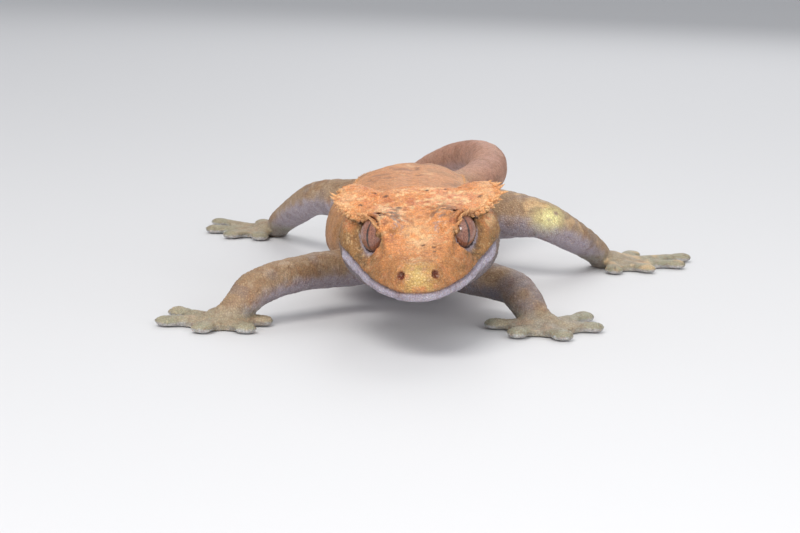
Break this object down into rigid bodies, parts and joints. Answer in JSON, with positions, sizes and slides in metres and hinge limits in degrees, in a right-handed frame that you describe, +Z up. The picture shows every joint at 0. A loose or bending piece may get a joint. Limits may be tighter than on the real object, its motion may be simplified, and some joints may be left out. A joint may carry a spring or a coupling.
{
  "type": "crested gecko",
  "caption": "Life-size still model of a crested gecko walking towards the viewer, with fringed head crests, lidless eyes, padded toes and a whole tail.",
  "frame": {"origin": "on the floor, under the middle of the bounding box", "axes": "+Z up, +Y from the snout towards the tail, so the animal faces -Y and its left side is on +X"},
  "size_m": [0.1044, 0.191, 0.0261],
  "materials": {
    "skin_head": "satin, fine granular scales, orange-peach with cream and olive patches",
    "lips": "satin, pale grey-lilac lip scales",
    "skin_body": "satin, fine granular scales, orange-brown above and grey-lilac below",
    "skin_tail": "satin, pinkish brown",
    "skin_leg": "satin, tan to grey-brown",
    "skin_foot": "satin, greenish cream-grey toe pads with dark claws",
    "eye": "wet gloss, reddish brown with a dark slit pupil"
  },
  "bodies": {
    "root": {"head": "skin_head", "jaw": "lips", "neck": "skin_body", "chest": "skin_body", "belly": "skin_body", "pelvis": "skin_body", "tail_1": "skin_tail", "tail_2": "skin_tail", "tail_3": "skin_tail", "tail_4": "skin_tail", "tail_5": "skin_tail", "eye_left": "eye", "eye_right": "eye", "upper_arm_left": "skin_leg", "forearm_left": "skin_leg", "thigh_left": "skin_leg", "shank_left": "skin_leg", "hand_left": "skin_foot", "foot_left": "skin_foot", "toe_front_left_1": "skin_foot", "toe_front_left_2": "skin_foot", "toe_front_left_3": "skin_foot", "toe_front_left_4": "skin_foot", "toe_front_left_5": "skin_foot", "toe_hind_left_1": "skin_foot", "toe_hind_left_2": "skin_foot", "toe_hind_left_3": "skin_foot", "toe_hind_left_4": "skin_foot", "toe_hind_left_5": "skin_foot", "upper_arm_right": "skin_leg", "forearm_right": "skin_leg", "thigh_right": "skin_leg", "shank_right": "skin_leg", "hand_right": "skin_foot", "foot_right": "skin_foot", "toe_front_right_1": "skin_foot", "toe_front_right_2": "skin_foot", "toe_front_right_3": "skin_foot", "toe_front_right_4": "skin_foot", "toe_front_right_5": "skin_foot", "toe_hind_right_1": "skin_foot", "toe_hind_right_2": "skin_foot", "toe_hind_right_3": "skin_foot", "toe_hind_right_4": "skin_foot", "toe_hind_right_5": "skin_foot"}
  },
  "joints": []
}
